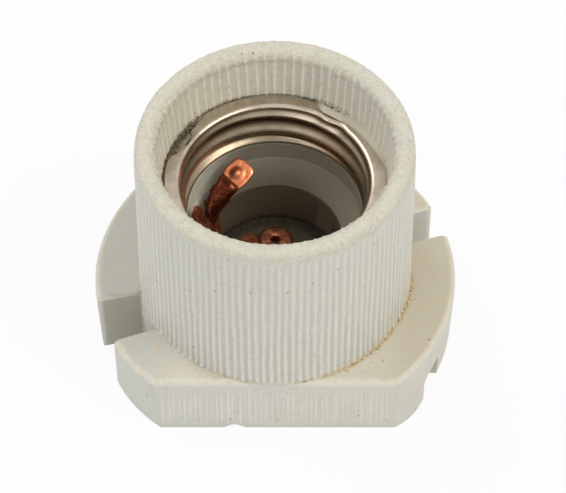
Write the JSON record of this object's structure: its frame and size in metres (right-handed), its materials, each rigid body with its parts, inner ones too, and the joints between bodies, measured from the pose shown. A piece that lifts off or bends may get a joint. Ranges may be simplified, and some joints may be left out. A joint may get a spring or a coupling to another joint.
{
  "type": "lamp holder",
  "caption": "Ceramic screw lamp holder: ribbed round body on a flanged base, rolled thread shell, contacts and rear screw terminals.",
  "frame": {"origin": "centre of the ceramic body's underside", "axes": "+Z along the lamp axis, out of the mouth; +X along the base's longer way; the fixing slots lie 20 to 22 degrees off the X axis"},
  "size_m": [0.0506, 0.0394, 0.0384],
  "materials": {
    "ceramic": "satin",
    "nickel_sheet": "satin",
    "copper": "satin",
    "copper_worn": "matte",
    "copper_bright": "satin",
    "brass_plate": "satin",
    "zinc_steel": "satin"
  },
  "bodies": {
    "holder": {"ceramic_body": "ceramic", "thread_shell": "nickel_sheet", "centre_contact_foot": "copper", "centre_rivet": "copper_bright", "side_contact": "copper", "side_rivet": "copper_bright", "live_terminal_plate": "brass_plate", "neutral_terminal_plate": "brass_plate"},
    "contact_tongue": {"centre_contact_tongue": "copper_worn"},
    "live_clamp": {"live_clamp_washer": "zinc_steel"},
    "live_screw": {"live_terminal_screw": "zinc_steel"},
    "neutral_clamp": {"neutral_clamp_washer": "zinc_steel"},
    "neutral_screw": {"neutral_terminal_screw": "zinc_steel"}
  },
  "joints": [
    {"name": "contact_flex", "type": "hinge", "parent": "holder", "child": "contact_tongue", "pos_m": [-0.0084, 0.0027, 0.01774], "axis": [0.2806, 0.9598, 0], "range_deg": [0, 10], "stiffness_Nm_per_rad": 0.02},
    {"name": "live_clamp_slide", "type": "slide", "parent": "holder", "child": "live_clamp", "axis": [0, 0, -1], "range_m": [0, 0.0012]},
    {"name": "live_screw_turn", "type": "hinge", "parent": "live_clamp", "child": "live_screw", "pos_m": [0, 0.0124, 0.0053], "axis": [0, 0, -1], "range_deg": [0, 864]},
    {"name": "neutral_clamp_slide", "type": "slide", "parent": "holder", "child": "neutral_clamp", "axis": [0, 0, -1], "range_m": [0, 0.0012]},
    {"name": "neutral_screw_turn", "type": "hinge", "parent": "neutral_clamp", "child": "neutral_screw", "pos_m": [0, -0.0124, 0.0053], "axis": [0, 0, -1], "range_deg": [0, 864]}
  ],
  "couplings": [
    {"joint": "live_screw_turn", "follows": "live_clamp_slide", "rad_per_m": 12566},
    {"joint": "neutral_screw_turn", "follows": "neutral_clamp_slide", "rad_per_m": 12566}
  ]
}
